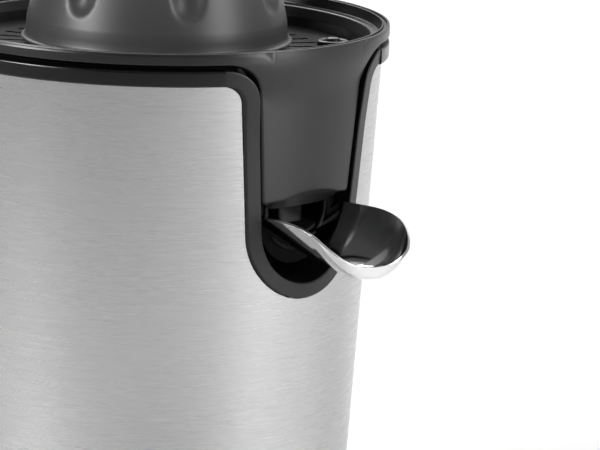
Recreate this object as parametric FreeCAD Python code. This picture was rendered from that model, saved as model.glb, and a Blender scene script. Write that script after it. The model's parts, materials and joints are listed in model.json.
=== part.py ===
import FreeCAD, Part
import math
import os

# Electric citrus press: steel-sleeved body, juice bowl with a front apron, tilting pouring spout,
# motor with a two-stage gearbox and a sprung drive shaft that starts the motor when it is pressed.
# Millimetres. Origin on the table at the body's axis, +Z up, the spout points along -Y.

Vector = FreeCAD.Vector

# ---------------------------------------------------------------- driving sizes: body
rim_z = 190.0             # height of the bowl's lip above the table
rim_r = 80.0              # outer radius of the bowl's lip
band_h = 3.8              # height of the bowl's outer band below the lip
rim_gap = 1.9             # dark gap between the bowl's band and the trim ring
trim_h = 5.3              # height of the trim ring, and width of the spout bezel
steel_step = 2.4          # how far the sleeve's top lies inside the trim ring's face
steel_taper = 3.22        # degrees that the sleeve leans in towards its foot
steel_t = 0.8             # sheet thickness of the sleeve
base_z = 9.0              # underside of the sleeve
foot_h = 3.0              # how far the rubber feet stand below the base
wall = 2.0                # moulded wall of the inner housing
skin_gap = 0.25           # gap between the sleeve and the inner housing

# ---------------------------------------------------------------- driving sizes: front recess
recess_r = 26.1           # radius of the recess's round lower end, at the steel
recess_drop = 59.8        # lip down to the centre of that round end
recess_lean = 5.4         # degrees that the recess's sides open upwards
corner_r = 6.6            # corner radius where the recess meets the sleeve's top edge
bezel_proud = 1.0         # how far the bezel stands out of the sleeve
bezel_t = 2.0             # thickness of the bezel's face
liner_t = 1.8             # wall of the bezel's tunnel
apron_gap = 1.0           # gap between the apron and the bezel
apron_t = 4.5             # thickness of the apron
apron_drop = 51.8         # lip down to the apron's lower corners
apron_arch = 1.8          # rise of the apron's lower edge at its middle, across its front plane
apron_slope = 0.36        # fall of the apron's underside per millimetre going in
pocket_y = 50.0           # distance of the pocket's rear wall from the axis

# ---------------------------------------------------------------- driving sizes: bowl, strainer and cones
bowl_wall_r = 73.4        # bowl's inner radius at its shelf
shelf_drop = 3.6          # lip down to the shelf
floor_z = 146.0           # underside of the bowl's floor
floor_t = 2.0
floor_r = 66.0            # outer radius of the bowl's floor
chimney_r = 12.3          # outer radius of the chimney round the drive shaft
chimney_t = 1.8
chimney_top = 176.0
strainer_drop = 9.9       # lip down to the strainer's top
strainer_t = 1.5
strainer_r = 70.4
strainer_slots = 40
finger_tab_r = 62.0       # place of the strainer's finger tabs
cone_r = 44.7             # large cone's radius level with the lip
cone_h = 50.0             # large cone's tip above the lip
brim_r = 46.6
brim_drop = 6.6
cone_flutes = 7
flute_r = 8.0
flute_depth = 4.2
flute_start = 2.0         # height above the lip where the flutes run out of the cone
flute_end = 0.28          # share of the cone's radius at which the flutes run out below the tip
knee_share = (0.93, 0.3)  # shares of radius and height where the cone's side starts to round over
shoulder_share = (0.62, 0.74)
tip_flat = 0.07           # share of the cone's radius at the small flat on its tip
dome_steps = 9            # sections of the cone's rounded part
flute_points = 12         # points of each section for every flute
rib_soft = 0.8            # softening of the ribs' edges
cone_wall = 7.0
small_cone_r = 34.0
small_cone_h = 36.0

# ---------------------------------------------------------------- driving sizes: spout
scoop_r = 22.5            # radius of the scoop's rounded section
scoop_t = 0.9             # sheet of the scoop
scoop_tip = 108.2         # reach of the scoop from the axis
scoop_fall = 11.0         # degrees that the scoop's floor falls
scoop_floor_drop = 67.2   # lip down to the scoop's underside, at scoop_ref
scoop_ref = 70.0
scoop_rim_drop = 55.8     # lip down to the scoop's side edges
scoop_dip = 15.2          # how far the edge falls at the tip
scoop_dip_from = 76.0
scoop_round_from = 94.2   # where the scoop starts to round off in plan
holder_r = 17.4           # radius of the spout holder's ring
holder_t = 1.8
holder_drop = 57.4        # lip down to the spout's pivot and the ring's centre
holder_front = 67.8
holder_back = 52.0
pivot_y = 55.0            # distance of the spout's pivot from the axis
pivot_r = 2.5
spout_lift = 7.0          # degrees from pouring to shut
seal_t = 1.0
seal_gap = 0.2            # gap left under the outlet when the spout is shut

# ---------------------------------------------------------------- driving sizes: drive
deck_z = 141.0            # underside of the housing's motor deck
deck_t = 2.5
shaft_r = 5.0
shaft_hex = 8.0           # across flats of the shaft's sliding part
press_travel = 2.0        # how far the cone sinks to start the motor
run_gap = 0.04            # radial running clearance
plate_z = 96.0            # underside of the gearbox plate
plate_t = 2.5
plate_r = 56.0
gear_t = 8.0
gear_z = 116.0            # underside of the output gear
stage_t = 6.0
stage_z = 102.0           # underside of the first-stage gear
hub_r = 9.0
module_out = 1.25
teeth_out = 44
teeth_idler_small = 14
module_in = 1.0
teeth_idler_big = 40
teeth_motor = 12
backlash = 0.16
idler_angle = 150.0       # direction of the idler from the drive shaft
motor_angle = 20.0        # direction of the motor from the idler
motor_r = 29.0
motor_h = 58.0
motor_wall = 1.2
motor_shaft_r = 2.5
axle_r = 2.5

# ---------------------------------------------------------------- derived places
band_z = rim_z - band_h
trim_top = band_z - rim_gap
trim_z = trim_top - trim_h
recess_z = rim_z - recess_drop
steel_top_r = rim_r - steel_step
taper = math.tan(math.radians(steel_taper))
lean = math.radians(recess_lean)
strainer_top = rim_z - strainer_drop
strainer_z = strainer_top - strainer_t
pivot_z = rim_z - holder_drop
deck_top = deck_z + deck_t
plate_top = plate_z + plate_t
far = 200.0               # further than anything reaches


def steel_r(z):
    """Outer radius of the tapered sleeve at height z."""
    return steel_top_r - taper * (trim_z - z)


# ---------------------------------------------------------------- small helpers
def closed_face(points):
    """Flat face through (x, z) points in the plane y = 0."""
    corners = [Vector(x, 0, z) for x, z in points]
    return Part.Face(Part.makePolygon(corners + corners[:1]))


def revolve(points):
    """Solid of revolution about Z from an (r, z) outline."""
    return closed_face(points).revolve(Vector(0, 0, 0), Vector(0, 0, 1), 360)


def disc(r, z0, z1, x=0.0, y=0.0):
    return Part.makeCylinder(r, z1 - z0, Vector(x, y, z0))


def ring(r_out, r_in, z0, z1, x=0.0, y=0.0):
    return disc(r_out, z0, z1, x, y).cut(disc(r_in, z0 - 1, z1 + 1, x, y))


def box(x0, x1, y0, y1, z0, z1):
    return Part.makeBox(x1 - x0, y1 - y0, z1 - z0, Vector(x0, y0, z0))


def hexagon(flats, z0, z1):
    corner = flats / math.sqrt(3)
    points = [Vector(corner * math.cos(math.radians(60 * i)), corner * math.sin(math.radians(60 * i)), z0)
              for i in range(6)]
    return Part.Face(Part.makePolygon(points + points[:1])).extrude(Vector(0, 0, z1 - z0))


def fuse(first, *others):
    return first.multiFuse(list(others)).removeSplitter()


def turned(shape, degrees):
    """Copy of a shape turned about Z."""
    copy = shape.copy()
    copy.rotate(Vector(0, 0, 0), Vector(0, 0, 1), degrees)
    return copy


def polar(radius, degrees, centre=(0.0, 0.0)):
    angle = math.radians(degrees)
    return centre[0] + radius * math.cos(angle), centre[1] + radius * math.sin(angle)


def save(name, *solids):
    """One STEP file per node; a group of like pieces keeps its separate solids."""
    shape = solids[0] if len(solids) == 1 else Part.makeCompound(list(solids))
    for solid in shape.Solids:
        if not solid.isValid():
            print("not valid:", name)
    shape.exportStep("parts/%s.step" % name)
    print("%-18s %2d solids %10.1f mm3" % (name, len(shape.Solids), shape.Volume))


# ---------------------------------------------------------------- outline of the front recess
def side_x(inset, z):
    """Half-width of the recess outline, moved in by inset, at height z."""
    return (recess_r - inset) / math.cos(lean) + (z - recess_z) * math.tan(lean)


def recess_face(inset, top_z):
    """Region inside the recess outline moved in by inset; above top_z, past rounded corners, it is all open."""
    radius = recess_r - inset
    corner = corner_r + inset
    corner_z = top_z - corner
    corner_x = side_x(inset, corner_z) + corner / math.cos(lean)
    mid = math.radians(45 + recess_lean / 2)

    def pair(x, z):
        return Vector(x, 0, z), Vector(-x, 0, z)

    wide, wide_left = pair(far, far + top_z)
    level, level_left = pair(far, top_z)
    bend, bend_left = pair(corner_x, top_z)
    bend_mid, bend_mid_left = pair(corner_x - corner * math.sin(mid - lean),
                                   corner_z + corner * math.cos(mid - lean))
    side, side_left = pair(corner_x - corner * math.cos(lean), corner_z + corner * math.sin(lean))
    low, low_left = pair(radius * math.cos(lean), recess_z - radius * math.sin(lean))
    bottom = Vector(0, 0, recess_z - radius)
    edges = [Part.LineSegment(wide_left, wide), Part.LineSegment(wide, level), Part.LineSegment(level, bend),
             Part.Arc(bend, bend_mid, side), Part.LineSegment(side, low), Part.Arc(low, bottom, low_left),
             Part.LineSegment(low_left, side_left), Part.Arc(side_left, bend_mid_left, bend_left),
             Part.LineSegment(bend_left, level_left), Part.LineSegment(level_left, wide_left)]
    return Part.Face(Part.Wire([edge.toShape() for edge in edges]))


def recess_cut(inset, top_z, back=0.0):
    """The recess region as a solid that reaches forward from y = -back."""
    solid = recess_face(inset, top_z).extrude(Vector(0, -far, 0))
    solid.translate(Vector(0, -back, 0))
    return solid


def parting_x():
    """Where the trim ring ends and the bezel starts, past the rounded corner."""
    return side_x(0, trim_z - corner_r) + corner_r / math.cos(lean) + 0.6


# ---------------------------------------------------------------- casing
def steel_sleeve(z0, z1, inner, outer):
    """Tapered ring between two offsets inwards from the sleeve's face."""
    return revolve([(steel_r(z0) - inner, z0), (steel_r(z0) - outer, z0), (steel_r(z1) - outer, z1),
                    (steel_r(z1) - inner, z1)])


def steel_shell():
    sleeve = steel_sleeve(base_z, trim_z, steel_t, 0)
    sleeve = sleeve.cut(recess_cut(-0.1, trim_z + 0.1))
    inlet = Part.makeCylinder(inlet_r + 0.1, far, Vector(0, 0, inlet_z), Vector(0, 1, 0))
    return sleeve.cut(inlet)


def top_trim_ring():
    inner = steel_top_r - steel_t - skin_gap - 1.0
    edge = 0.7
    body = revolve([(inner, trim_z), (rim_r - edge, trim_z), (rim_r, trim_z + edge), (rim_r, trim_top - edge),
                    (rim_r - edge, trim_top), (inner, trim_top)])
    return body.cut(box(-parting_x() - 0.1, parting_x() + 0.1, -far, 0, trim_z - 1, trim_top + 1))


def bezel_body():
    """Tapered ring that the bezel's face is cut from: flush with the trim, lower down proud of the steel."""
    low = recess_z - recess_r - 1
    blend_z = trim_z - 22.0
    outer = [(steel_r(low) + bezel_proud, low), (steel_r(blend_z) + bezel_proud, blend_z),
             (steel_r(trim_z - 8) + bezel_proud + 0.35, trim_z - 8), (rim_r - 0.5, trim_z + 1),
             (rim_r - 0.3, trim_top)]
    depth = bezel_proud + bezel_t
    inner = [(rim_r - 0.3 - depth - 1.0, trim_top), (steel_r(trim_z) - steel_t - skin_gap, trim_z),
             (steel_r(low) - steel_t - skin_gap, low)]
    return revolve(outer + inner)


def bowl_room():
    """Space that the bowl's round body needs inside the housing."""
    gap = 0.7
    return revolve([(0, floor_z - gap), (floor_r + 1.4, floor_z - gap),
                    (bowl_outer(chimney_top) + gap, chimney_top), (bowl_wall_r + 1.2 + gap, trim_z + 1),
                    (bowl_wall_r + 2.2, far), (0, far)])


def spout_bezel():
    face_band = recess_cut(0.1, trim_z + 0.1).cut(recess_cut(trim_h, trim_top))
    face_band = face_band.common(box(-parting_x(), parting_x(), -far, 0, 0, trim_top))
    face = bezel_body().common(face_band)
    tunnel_top = trim_z - 10.0
    tunnel = recess_cut(trim_h - liner_t, trim_z).cut(recess_cut(trim_h, trim_top, -1))
    inside = revolve([(0, 0), (steel_r(0) - 0.4, 0), (steel_r(tunnel_top) - 0.4, tunnel_top), (0, tunnel_top)])
    tunnel = tunnel.common(box(-far, far, -far, -pocket_y, 0, tunnel_top)).common(inside).cut(bowl_room())
    pivots = Part.makeCylinder(pivot_r + run_gap, 2 * far, Vector(-far, -pivot_y, pivot_z), Vector(1, 0, 0))
    return fuse(face, tunnel).cut(pivots)


def inner_housing():
    out = steel_t + skin_gap
    shell = steel_sleeve(base_z + base_step, trim_z, out + wall, out)
    deck = disc(steel_r(deck_z) - out - wall / 2, deck_z, deck_top)
    tower = disc(tower_r, deck_z, chimney_top - 8)
    collar = disc(hub_r + bush_t + 3, deck_z - 13, deck_z)
    posts = []
    for degrees in screw_angles:
        x, y = polar(base_screw_r, degrees)
        post = disc(5.0, base_z + base_step, base_z + 34, x, y)
        rib = box(base_screw_r, base_screw_r + 12, -1.5, 1.5, base_z + base_step, base_z + 34)
        posts += [post, turned(rib, degrees)]
    limit = steel_sleeve(base_z, trim_z, far / 4, out)
    body = fuse(shell, deck, tower, collar, *posts).common(fuse(limit, disc(30, base_z, trim_z)))
    # the pocket behind the bezel
    body = body.cut(recess_cut(trim_h - liner_t - 0.1, trim_z + 0.1, pocket_y))
    back = recess_cut(trim_h - liner_t - 0.1, trim_z + 0.1, pocket_y - wall)
    back = back.common(box(-far, far, -pocket_y, -pocket_y + wall, 0, deck_top))
    body = body.fuse(back).cut(bowl_room())
    # bores for the hub bush, the shaft bush and the shaft seal
    body = body.cut(disc(hub_r + bush_t, deck_z - 14, deck_z + 0.5))
    body = body.cut(disc(hub_r + 3.5, deck_z, deck_top + 3))
    body = body.cut(disc(shaft_r + 1.0, deck_z, far))
    body = body.cut(disc(bush_r, bush_z, chimney_top))
    for x, y in pillar_places:
        body = body.cut(disc(screw_r, deck_z - 1, far, x, y))
    body = body.cut(disc(axle_r, deck_z - 1, deck_z + 1.8, *idler_centre))
    for degrees in screw_angles:
        body = body.cut(disc(screw_r, 0, base_z + 24, *polar(base_screw_r, degrees)))
    inlet = Part.makeCylinder(inlet_r + 0.1, far, Vector(0, 0, inlet_z), Vector(0, 1, 0))
    return body.cut(inlet).removeSplitter()


def base_plate():
    top_r = steel_r(base_z) - 0.1
    out = steel_t + skin_gap + wall
    plate = revolve([(0, foot_h), (top_r - 2.4, foot_h), (top_r - 0.4, foot_h + 1.2), (top_r, base_z),
                     (top_r - out - 0.4, base_z), (top_r - out - 0.4, base_z + base_step),
                     (0, base_z + base_step)])
    plate = plate.cut(disc(top_r - out - 3.4, foot_h + 2.2, base_z + base_step + 1))
    bosses = []
    for degrees in screw_angles:
        bosses.append(disc(5.5, foot_h, base_z + base_step, *polar(base_screw_r, degrees)))
    for degrees in feet_angles:
        bosses.append(disc(foot_r + 2, foot_h, foot_h + 4.5, *polar(feet_ring_r, degrees)))
    plate = fuse(plate, *bosses)
    for degrees in screw_angles:
        x, y = polar(base_screw_r, degrees)
        plate = plate.cut(disc(screw_r + 0.2, 0, far, x, y))
        plate = plate.cut(disc(screw_head_r + 0.2, 0, foot_h + 3.2, x, y))
    for degrees in feet_angles:
        plate = plate.cut(disc(foot_r, 0, foot_h + 2.0, *polar(feet_ring_r, degrees)))
    for row in range(-3, 4):
        plate = plate.cut(box(-16, 16, row * 6 - 1.2, row * 6 + 1.2, 0, foot_h + 4))
    return plate


def rubber_feet():
    feet = []
    for degrees in feet_angles:
        x, y = polar(feet_ring_r, degrees)
        foot = revolve([(0, 0), (foot_r - 1.4, 0), (foot_r - 0.6, 0.6), (foot_r - 0.6, foot_h),
                        (foot_r, foot_h), (foot_r, foot_h + 2.0), (0, foot_h + 2.0)])
        foot.translate(Vector(x, y, 0))
        feet.append(foot)
    return feet


def screw(x, y, head_z, tip_z):
    """Pan-head screw; the head lies on the side of head_z that is away from the tip."""
    up = 1 if tip_z > head_z else -1
    low, high = sorted((head_z, tip_z))
    head_low, head_high = sorted((head_z, head_z - up * 2.2))
    head = disc(screw_head_r, head_low, head_high, x, y)
    slot_low, slot_high = sorted((head_z - up * 2.2, head_z - up * 1.2))
    cross = fuse(box(x - 1.8, x + 1.8, y - 0.4, y + 0.4, slot_low, slot_high),
                 box(x - 0.4, x + 0.4, y - 1.8, y + 1.8, slot_low, slot_high))
    return head.cut(cross).fuse(disc(screw_r, low, high, x, y)).removeSplitter()


def cord_inlet():
    """Rubber grommet in the rear of the sleeve, with the hole that the cord passes through."""
    face_y = steel_r(inlet_z)
    out = steel_t + skin_gap + wall
    along_y = Vector(0, 1, 0)
    grommet = fuse(Part.makeCylinder(inlet_r + 2.2, 2.0, Vector(0, face_y + 0.6, inlet_z), along_y),
                   Part.makeCylinder(inlet_r, out + 2.7, Vector(0, face_y - out - 2.0, inlet_z), along_y))
    bore = Part.makeCylinder(cord_r, 20, Vector(0, face_y - 12, inlet_z), along_y)
    return grommet.cut(bore)


# ---------------------------------------------------------------- bowl, strainer, cones
def bowl_outer(z):
    """Outer radius of the bowl's round body below the housing's top."""
    return floor_r + 1.0 + (z - floor_z) * 0.13


def apron_outer():
    """Outline of the apron's front face, from the lip down."""
    z_low = rim_z - apron_drop - 12
    return [(rim_r, rim_z), (rim_r, band_z + 1.3), (rim_r - 0.7, trim_top), (rim_r - 1.6, trim_z + 1.5),
            (steel_r(trim_z - 4) + 0.1, trim_z - 4), (steel_r(z_low), z_low)]


def juice_collector():
    shelf_z = rim_z - shelf_drop
    floor_top = floor_z + floor_t
    seat_r = strainer_r + 0.5
    profile = [(chimney_r - chimney_t, floor_z), (chimney_r - chimney_t, chimney_top), (chimney_r, chimney_top),
               (chimney_r, floor_top), (floor_r - 2.4, floor_top), (floor_r - 1.2, floor_top + 2.5),
               (strainer_r - 2.0, strainer_z), (seat_r, strainer_z), (seat_r + 0.6, strainer_z + 4.5),
               (bowl_wall_r, shelf_z), (rim_r - 3.3, shelf_z), (rim_r - 2.7, rim_z - 0.4), (rim_r - 2.3, rim_z),
               (rim_r - 2.1, rim_z), (rim_r - 1.9, rim_z - 0.8), (rim_r - 1.2, rim_z - 0.8),
               (rim_r - 1.0, rim_z), (rim_r - 0.4, rim_z), (rim_r, rim_z - 0.4), (rim_r, band_z),
               (rim_r - 2.7, band_z),
               (rim_r - 2.7, trim_top), (bowl_wall_r + 1.2, trim_top), (bowl_wall_r + 0.2, trim_z),
               (bowl_outer(chimney_top), chimney_top), (bowl_outer(floor_z + 1), floor_z + 1),
               (floor_r, floor_z)]
    bowl = revolve(profile)
    # the apron hangs from the bowl's band, in front of the pocket
    outer = apron_outer()
    inner = [(r - apron_t, z) for r, z in reversed(outer)]
    region = recess_cut(trim_h + apron_gap, band_z).common(box(-60, 60, -far, 0, 0, rim_z - 0.4))
    apron = revolve(outer + inner).common(region)
    arch_half = side_x(trim_h + apron_gap, rim_z - apron_drop)
    arch_r = (arch_half ** 2 + apron_arch ** 2) / (2 * apron_arch)
    arch_top = rim_z - apron_drop + apron_arch
    front_y = steel_r(arch_top)
    ahead = 10.0
    arch_centre = Vector(0, -front_y - ahead, arch_top - arch_r + ahead * apron_slope)
    arch = Part.Face(Part.Wire(Part.makeCircle(arch_r, arch_centre, Vector(0, 1, 0))))
    arch = arch.extrude(Vector(0, 50, -50 * apron_slope))
    apron = apron.cut(arch)
    # juice outlet: a flat tube down into the spout's ring, its mouth cut to fit the raised seal
    tube = box(-outlet_half, outlet_half, -outlet_front, -outlet_back, pivot_z - 12, floor_z + 1)
    corners = [e for e in tube.Edges if abs(e.BoundBox.ZLength) > 5 and e.BoundBox.YMin < -outlet_front + 0.1]
    tube = tube.makeFillet(2.0, corners)
    raised = scoop_cylinder(scoop_r - scoop_t - seal_t - seal_gap)
    raised.rotate(Vector(0, -pivot_y, pivot_z), Vector(-1, 0, 0), spout_lift)
    tube = tube.common(raised)
    bore = box(-outlet_half + 1.6, outlet_half - 1.6, -outlet_front + 1.6, -outlet_back - 1.5, 0, floor_top + 1)
    return fuse(bowl, apron, tube).cut(bore)


def strainer():
    plate = ring(strainer_r, chimney_r + 1.2, strainer_z, strainer_top)
    collar = ring(chimney_r + 3.0, chimney_r + 1.2, strainer_z, strainer_top + 4)
    slot = box(24, 40, -0.8, 0.8, 0, far)
    outer_slot = box(43, 57, -1.0, 1.0, 0, far)
    slots = [turned(slot, i * 360.0 / strainer_slots) for i in range(strainer_slots)]
    slots += [turned(outer_slot, (i + 0.5) * 360.0 / strainer_slots) for i in range(strainer_slots)]
    tabs = []
    for degrees in (tab_angle, tab_angle + 180):
        x, y = polar(finger_tab_r, degrees)
        tabs.append(ring(5.2, 3.8, strainer_top - 0.2, strainer_top + 1.2, x, y))
        tabs.append(disc(2.0, strainer_top - 0.2, strainer_top + 2.2, x, y))
    return fuse(plate, collar, *tabs).cut(Part.makeCompound(slots))


def circle_through(a, b, c):
    """Centre and radius of the circle through three (r, z) points."""
    d = 2 * (a[0] * (b[1] - c[1]) + b[0] * (c[1] - a[1]) + c[0] * (a[1] - b[1]))
    sa, sb, sc = (p[0] ** 2 + p[1] ** 2 for p in (a, b, c))
    r = (sa * (b[1] - c[1]) + sb * (c[1] - a[1]) + sc * (a[1] - b[1])) / d
    z = (sa * (c[0] - b[0]) + sb * (a[0] - c[0]) + sc * (b[0] - a[0])) / d
    return r, z, math.hypot(a[0] - r, a[1] - z)


def dome_stations(radius, base, height):
    """Points (r, z) up the dome's outline with their outward normals, from the foot to beside the tip."""
    knee = (radius * knee_share[0], base + height * knee_share[1])
    shoulder = (radius * shoulder_share[0], base + height * shoulder_share[1])
    arc_r, arc_z, arc = circle_through(knee, shoulder, (0.0, base + height))
    side = math.hypot(radius - knee[0], knee[1] - base)
    side_normal = ((knee[1] - base) / side, (radius - knee[0]) / side)
    stations = []
    for share in (0.0, 0.12, 0.35, 0.68):
        r = radius + (knee[0] - radius) * share
        stations.append((r, base + (knee[1] - base) * share) + side_normal)
    first = math.atan2(knee[1] - arc_z, knee[0] - arc_r)
    last = math.acos((radius * tip_flat - arc_r) / arc)
    for i in range(dome_steps + 1):
        angle = first + (last - first) * i / dome_steps
        normal = (math.cos(angle), math.sin(angle))
        stations.append((arc_r + arc * normal[0], arc_z + arc * normal[1]) + normal)
    return stations


def dome(radius, base, height, drop):
    """Plain rounded cone: straight at its foot, then curving over to a small flat at the tip."""
    foot, *stations = [Vector(at[0], 0, at[1]) for at in dome_stations(radius, base, height)]
    knee = [at for at in stations if at.z >= base + height * knee_share[1] - 0.01]
    over = Part.BSplineCurve()
    over.interpolate(knee)
    low = Vector(radius + drop * 0.04, 0, base - drop)
    axis_top, axis_low = Vector(0, 0, knee[-1].z), Vector(0, 0, base - drop)
    edges = [Part.makeLine(low, foot), Part.makeLine(foot, knee[0]), over.toShape(),
             Part.makeLine(knee[-1], axis_top), Part.makeLine(axis_top, axis_low), Part.makeLine(axis_low, low)]
    return Part.Face(Part.Wire(edges)).revolve(Vector(0, 0, 0), Vector(0, 0, 1), 360)


def flute_path(radius, base, height, groove, depth):
    """Circle (centre r, centre z, radius) that a groove's middle follows, clear of the dome at its ends."""
    stations = dome_stations(radius, base, height)
    ends = []
    for share, out in ((shoulder_share[0], groove - depth), (flute_end, groove)):
        r, z, normal_r, normal_z = min(stations, key=lambda at: abs(at[0] - radius * share))
        ends.append((r + out * normal_r, z + out * normal_z))
    return circle_through((radius + groove * 0.97, base + flute_start), *ends)


def fluted_dome(radius, base, height, drop, groove, depth):
    """Rounded cone with soft-edged grooves between its ribs."""
    centre_r, centre_z, path_r = flute_path(radius, base, height, groove, depth)
    pitch = 2 * math.pi / cone_flutes

    def section(r, z, normal_r, normal_z, plain=False):
        groove_depth = groove - path_r + math.hypot(r - centre_r, z - centre_z)
        points = []
        for i in range(cone_flutes * flute_points):
            turn = 2 * math.pi * i / (cone_flutes * flute_points)
            across = min(abs(r * math.sin((turn + pitch / 2) % pitch - pitch / 2)), min(groove, r) * 0.999)
            cut = math.sqrt(groove ** 2 - across ** 2) - (groove - groove_depth)
            cut -= r - math.sqrt(r ** 2 - across ** 2)
            cut = 0.0 if plain else (cut + math.hypot(cut, rib_soft)) / 2
            angle = turn + math.radians(flute_phase)
            out = r - cut * normal_r
            points.append(Vector(out * math.cos(angle), out * math.sin(angle), z - cut * normal_z))
        curve = Part.BSplineCurve()
        curve.interpolate(points, PeriodicFlag=True)
        return Part.Wire(curve.toShape())

    foot, *stations, tip = dome_stations(radius, base, height)
    wires = [section(radius + drop * share * 0.04, base - drop * share, 1.0, 0.0, True)
             for share in ((1.0, 0.8, 0.6, 0.4, 0.2) if drop > 2 else (1.0,))]
    wires += [section(*foot, True)] + [section(*station) for station in stations] + [section(*tip, True)]
    side = Part.makeLoft(wires, False, False)
    shell = Part.Shell(side.Faces + [Part.Face(wires[0]), Part.Face(wires[-1])])
    shell.sewShape()
    solid = Part.Solid(shell)
    if solid.Volume < 0:
        solid.reverse()
    return solid


def large_cone():
    body = fluted_dome(cone_r, rim_z, cone_h, brim_drop + 0.8, flute_r, flute_depth)
    brim_z = rim_z - brim_drop
    brim = revolve([(0, brim_z - 0.8), (brim_r, brim_z - 0.8), (brim_r, brim_z), (cone_r + 0.2, brim_z + 1.6),
                    (0, brim_z + 1.6)])
    body = body.fuse(brim)
    hollow = dome(cone_r - cone_wall, rim_z, cone_h - cone_wall - 2, brim_drop + 2)
    notch = box(-key_reach - 0.4, key_reach + 0.4, -key_half - 0.3, key_half + 0.3, 0, rim_z - 1.5)
    return body.cut(hollow).cut(notch)


def small_cone():
    base = rim_z - brim_drop
    body = fluted_dome(small_cone_r, base, small_cone_h, 0.8, flute_r * 0.7, flute_depth * 0.7)
    body = body.cut(dome(small_cone_r - 6.4, base - 2, small_cone_h - 5.0, 6.0))
    hub = disc(9.0, base - 0.8, base + small_cone_h - 5)
    keys = box(-key_reach, key_reach, -key_half, key_half, base - 0.8, base + 3.2)
    keys = keys.cut(disc(small_cone_r - 7, 0, far))
    bore = hexagon(shaft_hex + 2 * run_gap, 0, shaft_top + 0.4)
    clearance = disc(shaft_r + 0.3, 0, shaft_neck_z + 0.3)
    return fuse(body, hub, keys).cut(bore).cut(clearance)


# ---------------------------------------------------------------- spout
def scoop_cylinder(radius):
    """Round bar whose surface is the scoop's trough, falling towards the tip."""
    fall = math.radians(scoop_fall)
    axis = Vector(0, -math.cos(fall), -math.sin(fall))
    start_z = rim_z - scoop_floor_drop + scoop_r / math.cos(fall)
    start = Vector(0, -scoop_ref, start_z) - axis * 40
    return Part.makeCylinder(radius, 120, start, axis)


def scoop_plan(inset, back):
    """Plan outline of the scoop, a tongue with a full round end, as a tall solid."""
    half = scoop_r - inset
    reach = scoop_tip - inset - scoop_round_from
    power = 2.47
    steps = 10
    curve = []
    for i in range(steps + 1):
        angle = math.pi / 2 * i / steps
        across = half * math.cos(angle) ** (2 / power)
        along = reach * math.sin(angle) ** (2 / power)
        curve.append(Vector(across, -scoop_round_from - along, 0))
    mirror = [Vector(-p.x, p.y, 0) for p in reversed(curve[:-1])]
    tip = Part.BSplineCurve()
    tip.interpolate(curve + mirror)
    start, end = curve[0], mirror[-1]
    left, right = Vector(-half, -back, 0), Vector(half, -back, 0)
    edges = [tip.toShape(), Part.makeLine(end, left), Part.makeLine(left, right), Part.makeLine(right, start)]
    return Part.Face(Part.Wire(edges)).extrude(Vector(0, 0, far))


def above_scoop_rim():
    """Everything over the scoop's edge line, which is level and then dips towards the tip."""
    rim = rim_z - scoop_rim_drop
    points = []
    for i in range(9):
        u = scoop_dip_from + (scoop_tip + 1 - scoop_dip_from) * i / 8.0
        share = (u - scoop_dip_from) / (scoop_tip - scoop_dip_from)
        points.append(Vector(-far, -u, rim - scoop_dip * share ** 4))
    curve = Part.BSplineCurve()
    curve.interpolate(points)
    start, end = Vector(-far, -20, rim), points[-1]
    top_end, top_start = Vector(-far, end.y - 5, far * 2), Vector(-far, -20, far * 2)
    below_end = Vector(-far, end.y - 5, end.z - 5)
    wire = Part.Wire([Part.makeLine(start, points[0]), curve.toShape(), Part.makeLine(end, below_end),
                      Part.makeLine(below_end, top_end), Part.makeLine(top_end, top_start),
                      Part.makeLine(top_start, start)])
    return Part.Face(wire).extrude(Vector(2 * far, 0, 0))


def spout_scoop():
    back = outlet_back - 2.5
    trough = scoop_cylinder(scoop_r).common(scoop_plan(0, back)).cut(above_scoop_rim())
    hollow = scoop_cylinder(scoop_r - scoop_t).common(scoop_plan(scoop_t, back - 5))
    sheet = trough.cut(hollow)
    inside = Part.makeCylinder(holder_r - holder_t, holder_front, Vector(0, 0, pivot_z), Vector(0, -1, 0))
    front = box(-far, far, -far, -holder_front, 0, far)
    return sheet.common(fuse(front, inside))


def spout_holder():
    """Ring round the juice outlet that carries the scoop and turns on two pivots."""
    length = holder_front - holder_back
    backwards = Vector(0, -1, 0)
    start = Vector(0, -holder_back, pivot_z)
    inside = Part.makeCylinder(holder_r - holder_t, length, start + Vector(0, -holder_t, 0), backwards)
    body = Part.makeCylinder(holder_r, length, start, backwards).cut(inside)
    saddle = Part.makeCylinder(holder_r - 0.5, length, start, backwards).cut(scoop_cylinder(scoop_r))
    saddle = saddle.common(box(-far, far, -far, 0, 0, pivot_z - 2))
    sideways = Vector(1, 0, 0)
    pivots = Part.makeCylinder(pivot_r, 2 * pivot_reach, Vector(-pivot_reach, -pivot_y, pivot_z), sideways)
    shoulder_start = Vector(-shoulder_reach, -pivot_y, pivot_z)
    shoulders = Part.makeCylinder(shoulder_r, 2 * shoulder_reach, shoulder_start, sideways)
    journals = fuse(pivots, shoulders).cut(inside)
    top_cut = box(-far, far, -far, 0, pivot_z + holder_open, far)
    return fuse(body, saddle, journals).cut(top_cut)


def drip_seal():
    """Silicone pad on the scoop's floor that shuts the outlet when the spout is raised."""
    pad = scoop_cylinder(scoop_r - scoop_t).cut(scoop_cylinder(scoop_r - scoop_t - seal_t))
    half = outlet_half + 0.6
    return pad.common(box(-half, half, -outlet_front - 0.8, -outlet_back + 0.8, 0, pivot_z))


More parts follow.
